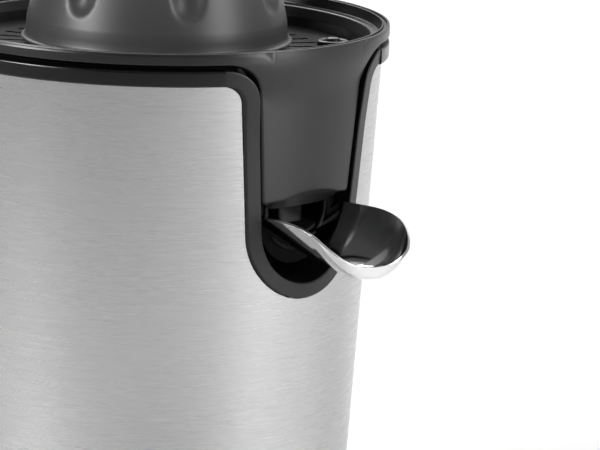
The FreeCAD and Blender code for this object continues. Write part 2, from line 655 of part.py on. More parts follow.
# ---------------------------------------------------------------- gears
def gear(teeth, module, z0, z1, tooth_at):
    """Involute spur gear about Z with one tooth centred on the direction tooth_at, in degrees."""
    pressure = math.radians(20)
    pitch_r = teeth * module / 2
    base_r = pitch_r * math.cos(pressure)
    tip_r = pitch_r + 0.75 * module
    root_r = pitch_r - 1.05 * module
    half = math.pi / (2 * teeth) - backlash / (4 * pitch_r)

    def half_angle(r):
        at = math.acos(min(1.0, base_r / r))
        return half + (math.tan(pressure) - pressure) - (math.tan(at) - at)

    start_r = max(base_r, root_r)
    radii = [start_r + (tip_r - start_r) * i / 4.0 for i in range(5)]
    flank = [(root_r, half_angle(start_r))] if root_r < base_r else []
    flank += [(r, half_angle(r)) for r in radii]
    points = []
    for i in range(teeth):
        centre = math.radians(tooth_at) + 2 * math.pi * i / teeth
        for r, angle in flank:
            points.append(Vector(r * math.cos(centre - angle), r * math.sin(centre - angle), z0))
        for r, angle in reversed(flank):
            points.append(Vector(r * math.cos(centre + angle), r * math.sin(centre + angle), z0))
    return Part.Face(Part.makePolygon(points + points[:1])).extrude(Vector(0, 0, z1 - z0))


def moved(shape, place):
    shape.translate(Vector(place[0], place[1], 0))
    return shape


def output_gear():
    wheel = gear(teeth_out, module_out, gear_z, gear_z + gear_t, idler_angle)
    recess = ring(teeth_out * module_out / 2 - 5, hub_r + 4, gear_z + gear_t - 2.5, far)
    hub = disc(hub_r, gear_z - 3, clip_z + 1.6)
    bore = hexagon(shaft_hex + 2 * run_gap, 0, far)
    groove = ring(hub_r + 1, hub_r - 0.8, clip_z, clip_z + 1.0)
    return fuse(wheel.cut(recess), hub).cut(bore).cut(groove)


def idler_gear():
    small_at = idler_angle + 180 + 180.0 / teeth_idler_small
    small = gear(teeth_idler_small, module_out, stage_z + stage_t, gear_z + gear_t + 1, small_at)
    big = gear(teeth_idler_big, module_in, stage_z, stage_z + stage_t, motor_angle)
    hub = disc(6.0, stage_z - 2.5, stage_z + stage_t)
    return moved(fuse(big, small, hub).cut(disc(axle_r + run_gap, 0, far)), idler_centre)


def motor_pinion():
    tooth_at = motor_angle + 180 + 180.0 / teeth_motor
    pinion = gear(teeth_motor, module_in, stage_z - 1, stage_z + stage_t + 1, tooth_at)
    return moved(pinion.cut(disc(motor_shaft_r, 0, far)), motor_centre)


# ---------------------------------------------------------------- drive
def drive_shaft():
    shoulder_z = clip_z + 1.6 + press_travel + 1.5
    low = disc(shaft_r, shoulder_z, shaft_neck_z)
    lower_hex = hexagon(shaft_hex, shaft_z, shoulder_z + 1)
    upper_hex = hexagon(shaft_hex, shaft_neck_z - 1, shaft_top)
    return fuse(low, lower_hex, upper_hex)


def thrust_seat():
    """Cup under the shaft, with the arm that works the switch."""
    cup = disc(7.0, shaft_z - 2, shaft_z)
    guide = disc(3.4, shaft_z - 5, shaft_z - 1)
    arm = box(5.0, switch_x + 2.5, -3.0, 3.0, shaft_z - 2, shaft_z)
    return fuse(cup, guide, arm)


def return_spring():
    wire_r = 0.6
    coil_r = 5.0
    low = plate_top + wire_r + 0.02
    high = shaft_z - 2 - wire_r - 0.02
    helix = Part.makeHelix((high - low) / 4.0, high - low, coil_r)
    helix.translate(Vector(0, 0, low))
    section = Part.Wire(Part.makeCircle(wire_r, Vector(coil_r, 0, low), Vector(0, 1, 0.08)))
    return Part.Wire(helix).makePipeShell([section], True, True)


def microswitch():
    z0, z1 = plate_top, shaft_z - 2 - press_travel - 0.4
    body = box(switch_x - 4, switch_x + 14, -4.0, 4.0, z0, z1)
    lugs = fuse(box(switch_x + 16, switch_x + 17, -2, 2, z0 + 2, z0 + 3),
                box(switch_x + 13, switch_x + 17, -2, 2, z0 + 2, z0 + 2.6))
    bore = disc(plunger_r + run_gap, z0 + 1.2, far, switch_x, 0)
    return fuse(body, lugs).cut(bore)


def switch_plunger():
    return disc(plunger_r, plate_top + 1.4 + press_travel, shaft_z - 2, switch_x, 0)


def gearbox_plate():
    plate = disc(plate_r, plate_z, plate_top)
    plate = plate.cut(disc(8.2, 0, far, *motor_centre)).cut(disc(axle_r, 0, far, *idler_centre))
    plate = plate.cut(disc(3.4 + 0.4, 0, far))
    for x, y in pillar_places:
        plate = plate.cut(disc(screw_r + 0.1, 0, far, x, y))
    for x, y in motor_screw_places:
        plate = plate.cut(disc(screw_r, 0, far, x, y))
    return plate


def gearbox_pillars():
    return [ring(4.0, screw_r, plate_top, deck_z, x, y) for x, y in pillar_places]


def motor_can():
    low = plate_z - motor_h
    can = disc(motor_r, low, plate_z).cut(disc(motor_r - motor_wall, low + 2, plate_z - 2))
    can = can.fuse(disc(9.0, low - 5, low + 1))
    can = can.cut(disc(motor_bush_r, 0, far))
    vents = []
    for i in range(8):
        slot = box(motor_r - 3, motor_r + 3, -2.0, 2.0, low + 6, low + 16)
        vents.append(turned(slot, i * 45.0))
    can = moved(can.cut(Part.makeCompound(vents)), motor_centre)
    for x, y in motor_screw_places:
        can = can.cut(disc(screw_r, plate_z - 3, far, x, y))
    return can


def stator():
    core = ring(motor_r - motor_wall, rotor_r + 0.5, plate_z - motor_h + 20, plate_z - 16)
    for i in range(12):
        slot = box(rotor_r, motor_r - 6, -1.5, 1.5, 0, far)
        core = core.cut(turned(slot, i * 30.0 + 15.0))
    coils = []
    for low in (plate_z - motor_h + 13, plate_z - 16):
        coils.append(ring(motor_r - motor_wall - 1.5, rotor_r + 1.5, low, low + 7))
    return moved(fuse(core, *coils), motor_centre)


def motor_rotor():
    core = disc(rotor_r, plate_z - motor_h + 20, plate_z - 16)
    shaft = disc(motor_shaft_r, plate_z - motor_h - 4, stage_z + stage_t + 1)
    return moved(fuse(core, shaft), motor_centre)


def motor_bushes():
    low = ring(motor_bush_r, motor_shaft_r + run_gap, plate_z - motor_h - 5, plate_z - motor_h + 2)
    high = ring(motor_bush_r, motor_shaft_r + run_gap, plate_z - 2, plate_z + 1.0)
    return [moved(low, motor_centre), moved(high, motor_centre)]


# ---------------------------------------------------------------- sizes of the smaller pieces, and places
base_step = 4.0           # height of the base plate's spigot inside the housing
base_screw_r = 57.5
screw_angles = (45, 135, 225, 315)
foot_r = 8.0
feet_ring_r = 50.0
feet_angles = (0, 90, 180, 270)
screw_r = 1.5
screw_head_r = 3.0
inlet_z = 26.0
inlet_r = 6.0
cord_r = 3.6
bush_r = 7.5
bush_z = 152.0
bush_top = 165.0
bush_t = 2.0
tower_r = 9.6
clip_z = deck_z + 0.5
shaft_z = 108.5
shaft_neck_z = 178.0
shaft_top = 206.0
switch_x = 18.0
plunger_r = 1.3
rotor_r = 16.0
motor_bush_r = 4.5
outlet_half = 9.0
outlet_back = 60.3
outlet_front = 67.2
shoulder_r = 4.0          # shoulder of the spout's pivots against the tunnel's walls
holder_open = 10.9        # the spout holder's ring is cut away above this height over its centre
shoulder_reach = side_x(trim_h, pivot_z) - 0.4
pivot_reach = side_x(trim_h - liner_t, pivot_z) - 0.1
tab_angle = -35.0
flute_phase = -67.0
key_reach = 39.5
key_half = 2.5
idler_centre = polar((teeth_out + teeth_idler_small) * module_out / 2, idler_angle)
motor_centre = polar((teeth_idler_big + teeth_motor) * module_in / 2, motor_angle, idler_centre)
pillar_places = ((45.0, 0.0), (24.0, 41.0), (26.0, -40.0), (-24.0, -42.0), (-51.0, -8.0))
motor_screw_places = [polar(22.0, degrees, motor_centre) for degrees in (45, 225)]

os.makedirs("parts", exist_ok=True)

save("steel_shell", steel_shell())
save("top_trim_ring", top_trim_ring())
save("spout_bezel", spout_bezel())
save("inner_housing", inner_housing())
save("base_plate", base_plate())
save("rubber_feet", *rubber_feet())
save("base_screws", *[screw(*polar(base_screw_r, a), foot_h + 3.2, base_z + 22) for a in screw_angles])
save("cord_inlet", cord_inlet())
save("juice_collector", juice_collector())
save("strainer", strainer())
save("large_cone", large_cone())
save("small_cone", small_cone())
save("spout_scoop", spout_scoop())
save("spout_holder", spout_holder())
save("drip_seal", drip_seal())
save("drive_shaft", drive_shaft())
save("shaft_bush", ring(bush_r, shaft_r + run_gap, bush_z, bush_top))
save("shaft_seal", ring(bush_r, shaft_r + 0.3, bush_top, chimney_top - 8))
save("hub_bush", ring(hub_r + bush_t, hub_r + run_gap, deck_z - 13, deck_z + 0.5))
save("gear_clip", ring(hub_r + 2.0, hub_r - 0.8, clip_z, clip_z + 1.0))
save("output_gear", output_gear())
save("idler_gear", idler_gear())
save("idler_axle", disc(axle_r, plate_z, deck_z + 1.8, *idler_centre))
save("motor_pinion", motor_pinion())
save("motor_rotor", motor_rotor())
save("motor_bushes", *motor_bushes())
save("stator", stator())
save("motor_can", motor_can())
save("motor_screws", *[screw(x, y, plate_top, plate_z - 2) for x, y in motor_screw_places])
save("gearbox_plate", gearbox_plate())
save("gearbox_pillars", *gearbox_pillars())
save("gearbox_screws", *[screw(x, y, plate_z, plate_z + 14) for x, y in pillar_places])
save("deck_screws", *[screw(x, y, deck_top, deck_z - 12) for x, y in pillar_places])
save("thrust_seat", thrust_seat())
save("return_spring", return_spring())
save("microswitch", microswitch())
save("switch_plunger", switch_plunger())
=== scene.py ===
import math

import bmesh
import bpy
from mathutils import Matrix, Vector
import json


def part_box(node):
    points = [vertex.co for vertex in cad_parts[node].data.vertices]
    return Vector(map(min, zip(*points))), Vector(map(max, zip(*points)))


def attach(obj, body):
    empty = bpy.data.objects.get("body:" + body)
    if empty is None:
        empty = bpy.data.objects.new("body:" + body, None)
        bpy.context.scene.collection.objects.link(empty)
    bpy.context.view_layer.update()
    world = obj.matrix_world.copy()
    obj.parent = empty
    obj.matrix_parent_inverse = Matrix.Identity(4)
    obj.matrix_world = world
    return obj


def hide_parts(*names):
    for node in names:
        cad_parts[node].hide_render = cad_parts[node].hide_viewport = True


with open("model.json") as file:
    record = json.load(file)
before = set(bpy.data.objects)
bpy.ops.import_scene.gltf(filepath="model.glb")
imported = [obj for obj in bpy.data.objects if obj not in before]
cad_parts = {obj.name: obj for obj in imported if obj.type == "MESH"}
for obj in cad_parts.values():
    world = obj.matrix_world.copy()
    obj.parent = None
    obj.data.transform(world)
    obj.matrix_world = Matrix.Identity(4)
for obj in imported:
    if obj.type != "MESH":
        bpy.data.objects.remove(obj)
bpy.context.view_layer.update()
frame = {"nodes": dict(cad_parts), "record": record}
nodes = frame["nodes"]
MM = 0.001

# ---------------------------------------------------------------- sizes read from the frame, in millimetres


def extent(node):
    """Lowest and highest corner of a node's box."""
    low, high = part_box(node)
    return low / MM, high / MM


lip = extent("juice_collector")[1]
rim_r, rim_z = lip.x, lip.z
trim_z, trim_top = (corner.z for corner in extent("top_trim_ring"))
trim_h = trim_top - trim_z
steel_low, steel_high = extent("steel_shell")
base_z = steel_low.z
steel_top_r = steel_high.x
bezel_low = extent("spout_bezel")[0]
scoop_reach = -extent("spout_scoop")[0].y
cone_high = extent("large_cone")[1]
holder_low, holder_high = extent("spout_holder")
collar_h = 4.0            # the strainer's collar round the shaft stands this much over its plate
strainer_top = extent("strainer")[1].z - collar_h

# ---------------------------------------------------------------- sizes that the boxes don't give
band_h = 3.8              # height of the bowl's outer band
taper = math.tan(math.radians(3.22))        # of the sleeve, narrower below
lean = math.radians(5.4)  # of the recess's sides, wider above
joint_gap = 0.1           # steel and bezel each stop this short of the line between them
recess_r = 26.1           # of the recess's round foot
recess_z = bezel_low.z + recess_r - joint_gap
corner_r = 6.6            # of the recess's upper corners
steel_t = 0.8
bezel_t = 3.0
liner_t = 1.8             # wall of the tunnel behind the recess
pocket_y = 50.0           # the tunnel's back
apron_gap = 1.0           # between the apron's side and the bezel
apron_t = 4.5
apron_drop = 51.8         # lip down to the corners of the apron's foot
apron_arch = 1.8
apron_slope = 0.36        # fall of the apron's underside, going in
apron_rear_drop = 54.6    # lip down to the rear edge of the apron's underside
bowl_t = 2.7
floor_z = 146.0           # underside of the bowl's floor
floor_r = 66.0
bowl_wall_r = 73.4
shelf_drop = 3.6          # lip down to the shelf inside it
strainer_drop = 11.4      # lip down to the ledge that the strainer rests on
strainer_r = 70.4
chimney_r = 12.3          # tube through the bowl's floor, round the shaft
chimney_top = 176.0
scoop_r = 22.5
scoop_t = 0.9
scoop_back = 57.8         # reach of the scoop's rear edge from the axis
scoop_fall = math.radians(11.0)
scoop_ref = 70.0          # reach where the floor's drop is measured
scoop_floor_drop = 67.2   # lip down to the scoop's underside there
scoop_rim_drop = 55.8     # lip down to the scoop's level edge
scoop_dip = 15.2          # how far the edge dips at the tip
scoop_dip_from = 76.0
scoop_round_from = 94.2   # reach of the tip's centre
holder_r = 15.1
finger_tab_r = 62.0       # from the axis to each button
flute_phase = math.radians(-69.0)
band_z = rim_z - band_h


def steel_r(z):
    """Outer radius of the tapered sleeve at a height."""
    return steel_top_r - taper * (trim_z - z)


# ---------------------------------------------------------------- mesh helpers
def new_piece(name, verts, faces, sharp=40.0):
    """A mesh object from points in millimetres, shaded smooth except over sharp edges."""
    mesh = bpy.data.meshes.new(name)
    mesh.from_pydata([Vector(v) * MM for v in verts], [], faces)
    work = bmesh.new()
    work.from_mesh(mesh)
    bmesh.ops.remove_doubles(work, verts=work.verts, dist=1e-6)
    bmesh.ops.recalc_face_normals(work, faces=work.faces)
    work.to_mesh(mesh)
    work.free()
    piece = bpy.data.objects.new(name, mesh)
    bpy.context.scene.collection.objects.link(piece)
    smooth(piece, sharp)
    return piece


def smooth(piece, sharp):
    """Smooth shading, with a crease where faces meet at more than sharp degrees."""
    piece.data.polygons.foreach_set("use_smooth", [True] * len(piece.data.polygons))
    piece.data.set_sharp_from_angle(angle=math.radians(sharp))


def even_normals(piece):
    """Large faces keep flat shading beside their small rounded edges."""
    weighted = piece.modifiers.new("even_normals", "WEIGHTED_NORMAL")
    weighted.keep_sharp = True
    weighted.weight = 80


def loft(rings, closed_path=False):
    """Quads between equally long closed rings, with a cap at both ends of an open row of rings."""
    count = len(rings[0])
    verts = [point for ring in rings for point in ring]
    faces = []
    last = len(rings) if closed_path else len(rings) - 1
    for i in range(last):
        a, b = i * count, (i + 1) % len(rings) * count
        for k in range(count):
            n = (k + 1) % count
            faces.append((a + k, a + n, b + n, b + k))
    if not closed_path:
        faces.append(tuple(range(count)))
        faces.append(tuple((len(rings) - 1) * count + k for k in reversed(range(count))))
    return verts, faces


def rounded(points, radii, steps):
    """A closed outline with its corners rounded, each by its own radius and never past a side's middle."""
    out = []
    n = len(points)
    for i, (corner, radius) in enumerate(zip(points, radii)):
        here = Vector(corner)
        back, ahead = Vector(points[i - 1]) - here, Vector(points[(i + 1) % n]) - here
        turn = back.angle(ahead)
        cut = radius / math.tan(turn / 2) if radius > 0 else 0.0
        cut = min(cut, back.length * 0.48, ahead.length * 0.48)
        if cut < 1e-4:
            out.append(tuple(here))
            continue
        start, end = here + back.normalized() * cut, here + ahead.normalized() * cut
        for k in range(steps + 1):
            t = k / steps
            out.append(tuple(start * (1 - t) ** 2 + here * 2 * t * (1 - t) + end * t ** 2))
    return out


def polar(r, angle, z):
    """Angle 0 faces the front, and grows towards +X."""
    return r * math.sin(angle), -r * math.cos(angle), z


def revolve(profile, segments, first, last):
    """Closed (r, z) outline turned about Z from one angle to another."""
    angles = [first + (last - first) * i / segments for i in range(segments + 1)]
    return loft([[polar(r, a, z) for r, z in profile] for a in angles])


def cut_away(piece, cutter):
    """Takes a cutter's shape out of a piece for good."""
    tool = new_piece("cutter", *cutter)
    cut = piece.modifiers.new("cut", "BOOLEAN")
    cut.operation, cut.solver, cut.object = "DIFFERENCE", "EXACT", tool
    evaluated = piece.evaluated_get(bpy.context.evaluated_depsgraph_get())
    result = bpy.data.meshes.new_from_object(evaluated)
    piece.modifiers.clear()
    piece.data = result
    bpy.data.objects.remove(tool)


def box_shape(x0, x1, y0, y1, z0, z1):
    """Corners and faces of a box between two planes along each axis."""
    verts = [(x, y, z) for x in (x0, x1) for y in (y0, y1) for z in (z0, z1)]
    return verts, [(0, 1, 3, 2), (4, 6, 7, 5), (0, 4, 5, 1), (2, 3, 7, 6), (0, 2, 6, 4), (1, 5, 7, 3)]


# ---------------------------------------------------------------- outline of the front recess
def side_x(inset, z):
    """The recess's leaning right side, so far inside its outline."""
    return (recess_r - inset) / math.cos(lean) + (z - recess_z) * math.tan(lean)


corner_z = trim_z - corner_r
corner_x = side_x(0, corner_z) + corner_r / math.cos(lean)
parting_x = corner_x + 0.6


def half_recess(bottom_steps=26, side_steps=16, corner_steps=14):
    """Right half of the recess outline from the top down: x, z and the normal into the recess."""
    path = [(parting_x, trim_z, 0.0, 1.0)]
    top, side = math.pi / 2, math.pi - lean
    for i in range(corner_steps + 1):
        a = top + (side - top) * i / corner_steps
        path.append((corner_x + corner_r * math.cos(a), corner_z + corner_r * math.sin(a),
                     math.cos(a), math.sin(a)))
    low = (recess_r * math.cos(lean), recess_z - recess_r * math.sin(lean))
    high = path[-1]
    for i in range(1, side_steps):
        t = i / side_steps
        path.append((high[0] + (low[0] - high[0]) * t, high[1] + (low[1] - high[1]) * t,
                     -math.cos(lean), math.sin(lean)))
    for i in range(bottom_steps + 1):
        a = -lean + (-math.pi / 2 + lean) * i / bottom_steps
        path.append((recess_r * math.cos(a), recess_z + recess_r * math.sin(a), -math.cos(a), -math.sin(a)))
    return path


def whole_path(half):
    """Both halves of an outline as one, mirrored at its last point."""
    return half + [(-x, z, -nx, nz) for x, z, nx, nz in reversed(half[:-1])]


def on_face(x, z, r):
    """The point of a round front face of radius r that lies at x and z."""
    return x, -math.sqrt(max(r * r - x * x, 0.0)), z


# ---------------------------------------------------------------- casing
def steel_sleeve():
    """Thin tapered sheet, its top edge running down round the recess."""
    ease, back_steps, inlet_r = 0.18, 150, 6.1
    outline = [(x - joint_gap * nx, z - joint_gap * nz) for x, z, nx, nz in whole_path(half_recess())]
    tops = [(math.asin(x / steel_r(z)), z) for x, z in outline]
    tops.sort()
    first, last = tops[-1][0], tops[0][0] + 2 * math.pi
    tops += [(first + (last - first) * i / back_steps, trim_z) for i in range(1, back_steps)]
    rings = []
    for angle, top in tops:
        ring = []
        for depth, drop in ((ease, 0.0), (0.0, ease)):
            ring.append((steel_r(top) - depth, top - drop))
        for share in (0.25, 0.5, 0.75):
            z = top + (base_z - top) * share
            ring.append((steel_r(z), z))
        ring += [(steel_r(base_z), base_z + ease), (steel_r(base_z) - ease, base_z),
                 (steel_r(base_z) - steel_t, base_z), (steel_r(top) - steel_t, top)]
        rings.append([polar(r, angle, z) for r, z in ring])
    sleeve = new_piece("brushed_sleeve", *loft(rings, closed_path=True))
    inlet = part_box("cord_inlet")
    inlet_z = (inlet[0].z + inlet[1].z) / 2 / MM
    turns = [2 * math.pi * k / 48 for k in range(48)]
    hole = [[(inlet_r * math.cos(a), y, inlet_z + inlet_r * math.sin(a)) for a in turns]
            for y in (40.0, 100.0)]
    cut_away(sleeve, loft(hole))
    smooth(sleeve, 40)
    return sleeve


def trim_ring():
    """Black band on top of the sleeve, from one side of the recess round to the other."""
    depth, parting_gap = 2.05, 0.12
    inner = steel_top_r - depth
    profile = rounded([(inner, trim_z), (rim_r, trim_z), (rim_r, trim_top), (inner, trim_top)],
                      [0.2, 0.7, 0.9, 0.2], 6)
    gap = math.asin((parting_x + parting_gap) / rim_r)
    piece = new_piece("trim_band", *revolve(profile, 260, gap, 2 * math.pi - gap), sharp=60)
    even_normals(piece)
    return piece


def bezel_r(z):
    """The bezel's face: near the trim ring's radius at its top, just proud of the steel lower down."""
    proud, below_lip, drop, span = 1.0, 0.4, 22.0, 25.0
    t = min(max((z - (trim_z - drop)) / span, 0.0), 1.0)
    ease = t * t * (3 - 2 * t)
    return steel_r(z) + proud + ease * (rim_r - below_lip - steel_top_r - proud - taper * (span - drop))


def room_r(z):
    """Radius that the tunnel's walls keep clear of the bowl, whose wall leans out."""
    under, gap, wall_lean, gap_above = 0.8, 2.1, 0.15, 2.4
    if z < floor_z - under:
        return 0.0
    if z < trim_z:
        return floor_r + gap + (z - floor_z) * wall_lean
    return bowl_wall_r + gap_above


def bezel():
    """One section swept round the recess: the outer step, the face and the tunnel's wall."""
    rings = []
    liner_from = 1.2          # the tunnel's wall starts this much behind the face's rear edge
    section = rounded([(joint_gap, bezel_t), (joint_gap, 0.0), (trim_h, 0.0), (trim_h, bezel_t + 1)],
                      [0.0, 0.55, 0.8, 0.0], 5)
    for x, z, nx, nz in whole_path(half_recess(36, 24, 18)):
        ring = []
        for inset, depth in section:
            px, pz = x + nx * inset, z + nz * inset
            ring.append(on_face(px, pz, bezel_r(pz) - depth))
        for inset in (trim_h, trim_h - liner_t):
            px, pz = x + nx * inset, z + nz * inset
            back = max(pocket_y, math.sqrt(max(room_r(pz) ** 2 - px * px, 0.0)))
            back = min(back, math.sqrt((bezel_r(pz) - bezel_t - liner_from) ** 2 - px * px))
            ring.append((px, -back, pz))
        inner = trim_h - liner_t
        px, pz = x + nx * inner, z + nz * inner
        ring.append(on_face(px, pz, bezel_r(pz) - bezel_t))
        rings.append(ring)
    piece = new_piece("spout_frame", *loft(rings), sharp=50)
    even_normals(piece)
    return piece


# ---------------------------------------------------------------- bowl
def apron_half(steps_corner=16, steps_side=22, steps_bend=8, steps_arch=16):
    """Lower edge of the bowl's skin at the right, from the band down the apron's side to its middle."""
    inset = trim_h + apron_gap
    radius = corner_r + inset
    z_mid = band_z - radius
    x_mid = side_x(inset, z_mid) + radius / math.cos(lean)
    path = []
    top, side = math.pi / 2, math.pi - lean
    for i in range(steps_corner + 1):
        a = top + (side - top) * i / steps_corner
        path.append((x_mid + radius * math.cos(a), z_mid + radius * math.sin(a), math.cos(a), math.sin(a)))
    foot_z = rim_z - apron_drop
    foot_x = side_x(inset, foot_z)
    bend = 1.3
    high = path[-1]
    low_z = foot_z + bend
    low_x = side_x(inset, low_z)
    for i in range(1, steps_side + 1):
        t = i / steps_side
        path.append((high[0] + (low_x - high[0]) * t, high[1] + (low_z - high[1]) * t,
                     -math.cos(lean), math.sin(lean)))
    for i in range(1, steps_bend):
        a = math.pi + (math.pi / 2) * i / steps_bend
        path.append((low_x - bend - bend * math.cos(a), low_z + bend * math.sin(a),
                     math.cos(a), -math.sin(a)))
    arch_r = (foot_x ** 2 + apron_arch ** 2) / (2 * apron_arch)
    start = low_x - bend
    for i in range(steps_arch + 1):
        x = start * (1 - i / steps_arch)
        path.append((x, arch_z(x, arch_r), 0.0, 1.0))
    return path


def arch_z(x, arch_r):
    """Apron's lower edge, seen on its front face: the underside falls going in, and the face is round."""
    top = rim_z - apron_drop + apron_arch
    front = steel_r(top)
    z = top - arch_r + math.sqrt(arch_r ** 2 - x * x)
    lift = 0.35               # the fall starts this much above the edge
    return z - apron_slope * (front - math.sqrt(front ** 2 - x * x)) + lift


def apron_fall(x, z):
    """How far the apron's underside falls from its front edge to its rear edge.

    The rear edge is level, but near the sides it stays up by a share of the fall."""
    level_half, side_w, held = 13.0, 6.0, 0.75
    side = min(max((abs(x) - level_half) / side_w, 0.0), 1.0)
    return (z - (rim_z - apron_rear_drop)) * (1 - held * side * side * (3 - 2 * side))


def apron_r(z):
    """Front face of the bowl's skin: the lip's radius at the band, easing back to the sleeve's."""
    low, high = trim_z - 5.0, band_z + 1.0
    t = min(max((z - low) / (high - low), 0.0), 1.0)
    ease = t * t * (3 - 2 * t)
    base = steel_r(min(z, trim_z))
    return base + (rim_r - base) * ease


def bowl_shell():
    """The bowl and its apron as one skin: every column runs from the lip to its lower edge and back."""
    half = apron_half()
    back_steps, crowding = 70, 1.15     # columns behind the apron, closer together beside it
    lip_ease, face_rows, edge_rows, edge_ease = 0.7, 13, 5, 0.4
    thicken_h = 6.0           # height below the band over which the skin reaches the apron's thickness
    first = half[0][0]
    columns = [(math.asin(x / rim_r), x, z, nx, nz) for x, z, nx, nz in half]
    start = math.asin(first / rim_r)
    around = [(start + (math.pi - start) * (i / back_steps) ** crowding, None, band_z, 0.0, 1.0)
              for i in range(1, back_steps + 1)]
    right = list(reversed(around)) + columns
    left = [(-a, None if x is None else -x, z, -nx, nz) for a, x, z, nx, nz in reversed(right[:-1])]
    columns = right + left[:-1]
    shelf_z = rim_z - shelf_drop
    ledge_z = rim_z - strainer_drop
    apron_foot = rim_z - apron_drop + 2 * apron_arch
    bore_r = chimney_r - 1.8
    # radius, height and rounding of each corner, from outside the wall under the floor to the lip
    corners = [
        (bowl_wall_r + 0.2, trim_z, 0.0),
        (71.0, chimney_top, 0.0),
        (67.1, floor_z + 1, 1.0),
        (floor_r, floor_z, 0.6),
        (bore_r, floor_z, 0.6),
        (bore_r, chimney_top, 0.4),
        (chimney_r, chimney_top, 0.4),
        (chimney_r, floor_z + 2, 3.0),
        (floor_r - 2.4, floor_z + 2, 2.0),
        (floor_r - 1.2, floor_z + 4.5, 2.0),
        (strainer_r - 2, ledge_z, 0.5),
        (strainer_r + 0.5, ledge_z, 0.6),
        (strainer_r + 1.1, ledge_z + 4.5, 1.5),
        (bowl_wall_r, shelf_z, 1.0),
        (rim_r - 3.3, shelf_z, 0.7),
        (rim_r - 2.75, rim_z, 0.35),
        (rim_r - 2.2, rim_z, 0.2),
        (rim_r - 2.0, rim_z - 0.8, 0.25),
        (rim_r - 1.1, rim_z - 0.8, 0.25),
        (rim_r - 0.9, rim_z, 0.2),
        (rim_r, rim_z, 0.6),
    ]
    inner = rounded([corner[:2] for corner in corners], [corner[2] for corner in corners], 4)
    rings = []
    for angle, x, z, nx, nz in columns:
        ring = [polar(r, angle, height) for r, height in inner]
        share = 0.0 if x is None else min((band_z - z) / thicken_h, 1.0)
        ease = 0.4 + 0.5 * share
        thick = bowl_t + (apron_t - bowl_t) * share

        def at(inset, depth):
            if x is None:
                return polar(rim_r - depth, angle, z + inset)
            px, pz = x + nx * inset, z + nz * inset
            under = max(nz, 0.0) if share == 1.0 and z < apron_foot else 0.0
            return on_face(px, pz - apron_fall(px, pz) * under * depth / thick, apron_r(pz) - depth)

        face = at(ease, 0.0)
        face_angle = math.atan2(face[0], -face[1])
        for k in range(1, face_rows):
            height = rim_z - lip_ease + (face[2] - rim_z + lip_ease) * k / face_rows
            blend = k / face_rows
            r = apron_r(height) if x is not None else rim_r
            ring.append(polar(r, angle + (face_angle - angle) * blend, height))
        for k in range(edge_rows + 1):
            a = math.pi / 2 * k / edge_rows
            ring.append(at(ease * (1 - math.sin(a)), ease * (1 - math.cos(a))))
        ring.append(at(0.0, thick - edge_ease))
        ring.append(at(edge_ease, thick))
        back = ring[-1]
        back_angle = math.atan2(back[0], -back[1])
        top = trim_top if share == 0.0 else max(back[2] + 0.4, trim_z + 0.5)
        top_r = rim_r - bowl_t - 1.9 * share
        ring.append(polar(top_r, back_angle + (angle - back_angle) * 0.5, max(top, back[2] + 0.2)))
        ring.append(polar(bowl_wall_r + 1.0, angle, trim_top - 0.3 * share))
        rings.append(ring)
    return loft(rings, closed_path=True)


def juice_bowl():
    """The bowl with a hole in its floor, and the short outlet tube under the hole."""
    piece = new_piece("bowl_and_apron", *bowl_shell(), sharp=50)
    half, back, front, wall, back_wall = 5.8, 60.3, 66.2, 1.6, 1.5
    low_z = extent("juice_collector")[0].z + 1.5
    outline = rounded([(-half, back), (half, back), (half, front), (-half, front)], [0.3, 0.3, 2.0, 2.0], 6)
    rings = []
    for shrink, z in ((0.5, low_z - 0.2), (0.15, low_z), (0.0, low_z + 0.5), (0.0, floor_z + 1)):
        ring = []
        for x, y in outline:
            inward = shrink if y > (back + front) / 2 else -shrink
            ring.append((x - math.copysign(shrink, x), -(y - inward), z))
        rings.append(ring)
    tube = new_piece("outlet_tube", *loft(rings), sharp=50)
    bore = box_shape(-half + wall, half - wall, -front + wall, -back - back_wall, low_z - 30, floor_z + 3)
    cut_away(tube, bore)
    cut_away(piece, bore)
    smooth(piece, 50)
    smooth(tube, 50)
    even_normals(piece)
    return piece, tube


# ---------------------------------------------------------------- cones
def circle_through(a, b, c):
    """Centre and radius of the circle through three (r, z) points."""
    d = 2 * (a[0] * (b[1] - c[1]) + b[0] * (c[1] - a[1]) + c[0] * (a[1] - b[1]))
    sa, sb, sc = (p[0] ** 2 + p[1] ** 2 for p in (a, b, c))
    r = (sa * (b[1] - c[1]) + sb * (c[1] - a[1]) + sc * (a[1] - b[1])) / d
    z = (sa * (c[0] - b[0]) + sb * (a[0] - c[0]) + sc * (b[0] - a[0])) / d
    return r, z, math.hypot(a[0] - r, a[1] - z)


def dome_line(radius, base, height, steps):
    """Points and outward normals up a cone's side: straight to the knee, then an arc over the tip."""
    knee = (radius * 0.93, base + height * 0.3)
    shoulder = (radius * 0.62, base + height * 0.74)
    arc_r, arc_z, arc = circle_through(knee, shoulder, (0.0, base + height))
    side = math.hypot(radius - knee[0], knee[1] - base)
    normal = ((knee[1] - base) / side, (radius - knee[0]) / side)
    line = [(radius + (knee[0] - radius) * i / steps, base + (knee[1] - base) * i / steps) + normal
            for i in range(steps)]
    first = math.atan2(knee[1] - arc_z, knee[0] - arc_r)
    last = math.acos(-arc_r / arc)
    for i in range(3 * steps + 1):
        a = first + (last - first) * i / (3 * steps)
        line.append((arc_r + arc * math.cos(a), arc_z + arc * math.sin(a), math.cos(a), math.sin(a)))
    return line


